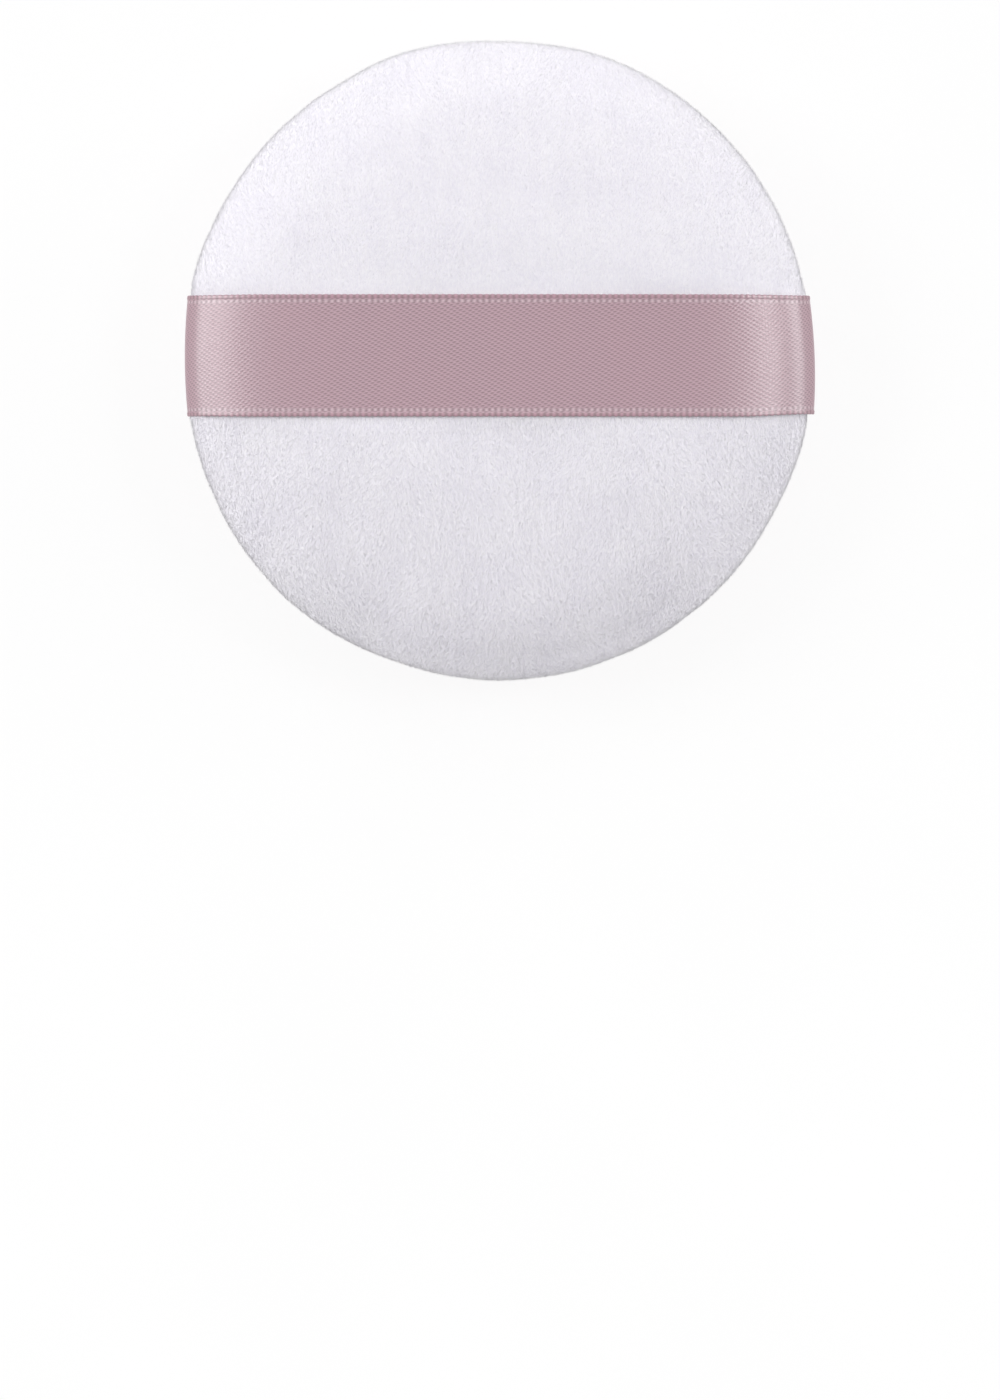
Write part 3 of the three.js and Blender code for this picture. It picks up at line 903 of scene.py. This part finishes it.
def threadMaterial(slot):
    # Twisted plies: slanting bands of a lit and a shaded tone, painted light and painted shade on each
    # ply.
    light, shadedSide = thread["colours"][slot]
    material, tree, shader = newMaterial(slot, Roughness=0.7, Sheen_Weight=0.2)
    place = objectCoordinates(tree)
    inputs = {"Vector": place, "Scale": 0.5 / thread["ply"], "Distortion": thread["stray"]}
    plies = addNode(tree, "ShaderNodeTexWave", {"bands_direction": "DIAGONAL"}, inputs).outputs["Fac"]
    tree.links.new(mixColours(tree, plies, shadedSide, light), shader.inputs["Base Color"])
    bumpFrom(tree, shader, plies, thread["bump"])
    return material


def dressInside():
    made = {slot: threadMaterial(slot) for slot in thread["colours"]}
    made["foam"] = foamMaterial()
    for row in frame["record"]["subparts"]:
        if row["material_slot"] in made:
            mesh = nodes[row["node"]].data
            mesh.materials.clear()
            mesh.materials.append(made[row["material_slot"]])
    print("foam core and threads: materials")


# Floor, light and camera

floor = {
    "radius": 3.0,
    "middle": 0.2,  # radius of the inner disc
    "sides": 64,
    "shade": 0.12,  # share of its white that shadows can take away
    "grain": 0.02,
    "grainSize": 40 * mm,
    "bounce": 0.8,  # colour with which it lights the puff
}
lamps = {  # share of a level surface's light, height and turn in degrees, width of the source
    "keyLeft": {"share": 0.105, "height": 49, "turn": 122, "width": 50},
    "keyRight": {"share": 0.082, "height": 49, "turn": 64, "width": 50},
    "left": {"share": 0.132, "height": 40, "turn": 166, "width": 30},
    "leftLow": {"share": 0.05, "height": 11, "turn": 166, "width": 36},
    "right": {"share": 0.128, "height": 48, "turn": 14, "width": 20},
    "rightLow": {"share": 0.048, "height": 12, "turn": 14, "width": 36},
}
sky = {
    "zenith": 0.255,
    "horizon": 2.0,
    "fall": 2.0,  # how fast the horizon's light falls off upwards
}
camera = {
    "lens": 800,
    "sensor": 36,
    "framePixels": (1000, 1400),
    "pixelsPerMetre": 8050,  # at the height of the rim
    "discCentre": (498.6, 360),  # pixel where the middle of the puff falls
    "rimHeight": 10 * mm,
}


def seenDirectly(tree):
    # 1 for what the camera sees, also in a reflection or through glass.
    path = addNode(tree, "ShaderNodeLightPath").outputs
    seen = maths(tree, "MAXIMUM", path["Is Camera Ray"], path["Is Glossy Ray"])
    return maths(tree, "MAXIMUM", seen, path["Is Transmission Ray"])


def mixShaders(tree, share, first, second):
    return addNode(tree, "ShaderNodeMixShader", None, {0: share, 1: first, 2: second}).outputs[0]


def makeFloor():
    # A round white floor that keeps a soft shadow; from below it lets the view through.
    count = floor["sides"]
    turn = np.linspace(0, 2 * np.pi, count, endpoint=False)
    ring = np.stack([np.cos(turn), np.sin(turn), 0 * turn], -1)
    points = np.concatenate([ring * floor["middle"], ring * floor["radius"], np.zeros((1, 3))])
    inner = np.arange(count)
    after = np.roll(inner, -1)
    middle = np.stack([inner, after, np.full(count, 2 * count)], -1)
    first = np.stack([inner, inner + count, after + count], -1)
    second = np.stack([inner, after + count, after], -1)
    obj = makeMesh("floor", points, np.concatenate([middle, first, second]))
    material = bpy.data.materials.new("floor")
    material.use_nodes = True
    material.cycles.emission_sampling = "NONE"  # its glow is for the eye and lights nothing
    tree = material.node_tree
    tree.nodes.clear()
    grain = noiseField(tree, objectCoordinates(tree), floor["grainSize"])
    grain = maths(tree, "MULTIPLY", grain, floor["grain"])
    level = maths(tree, "ADD", grain, floor["shade"] - floor["grain"] / 2)
    shaded = addNode(tree, "ShaderNodeBsdfDiffuse", None, {"Color": level}).outputs[0]
    glow = addNode(tree, "ShaderNodeEmission", None, {"Strength": 1 - floor["shade"]}).outputs[0]
    white = addNode(tree, "ShaderNodeAddShader", None, {0: shaded, 1: glow}).outputs[0]
    grey = (floor["bounce"],) * 3 + (1,)
    bounce = addNode(tree, "ShaderNodeBsdfDiffuse", None, {"Color": grey}).outputs[0]
    above = mixShaders(tree, seenDirectly(tree), bounce, white)
    clear = addNode(tree, "ShaderNodeBsdfTransparent").outputs[0]
    below = addNode(tree, "ShaderNodeNewGeometry").outputs["Backfacing"]
    addNode(tree, "ShaderNodeOutputMaterial", None, {0: mixShaders(tree, below, above, clear)})
    obj.data.materials.append(material)


def makeLight():
    # Sun lamps, and a sky that is brightest at the horizon but is seen as plain white.
    for name, lamp in lamps.items():
        data = bpy.data.lights.new(name, "SUN")
        height = math.radians(lamp["height"])
        data.energy = lamp["share"] * math.pi / math.sin(height)
        data.angle = math.radians(lamp["width"])
        obj = bpy.data.objects.new(name, data)
        obj.rotation_euler = (math.pi / 2 - height, 0, math.radians(lamp["turn"] + 90))
        scene.collection.objects.link(obj)
    world = bpy.data.worlds.new("studio")
    world.use_nodes = True
    tree = world.node_tree
    tree.nodes.clear()
    way = addNode(tree, "ShaderNodeTexCoord").outputs["Generated"]
    way = addNode(tree, "ShaderNodeSeparateXYZ", None, {0: way}).outputs
    low = maths(tree, "SUBTRACT", 1.0, maths(tree, "ABSOLUTE", way[2]))
    low = maths(tree, "POWER", low, sky["fall"])
    level = maths(tree, "MULTIPLY_ADD", low, sky["horizon"] - sky["zenith"], sky["zenith"])
    fill = addNode(tree, "ShaderNodeBackground", None, {1: level}).outputs[0]
    white = addNode(tree, "ShaderNodeBackground", None, {0: (1, 1, 1, 1), 1: 1.0}).outputs[0]
    addNode(tree, "ShaderNodeOutputWorld", None, {0: mixShaders(tree, seenDirectly(tree), fill, white)})
    scene.world = world


def makeCamera():
    # Straight down, with up in the picture along +Y.
    c = camera
    wide, tall = c["framePixels"]
    data = bpy.data.cameras.new("camera")
    data.lens = c["lens"]
    data.sensor_width = c["sensor"]
    data.sensor_fit = "AUTO"
    obj = bpy.data.objects.new("camera", data)
    distance = tall / c["pixelsPerMetre"] * c["lens"] / c["sensor"]
    x = (wide / 2 - c["discCentre"][0]) / c["pixelsPerMetre"]
    y = (c["discCentre"][1] - tall / 2) / c["pixelsPerMetre"]
    obj.location = (x, y, c["rimHeight"] + distance)
    scene.collection.objects.link(obj)
    scene.camera = obj


scene.view_settings.view_transform = "Standard"
makeCamera()
makeLight()
makeFloor()
print("camera, light and floor")
whiteCover = dressCover(whiteVelour)
dressCover(pinkVelour)
dressRibbon()
dressInside()
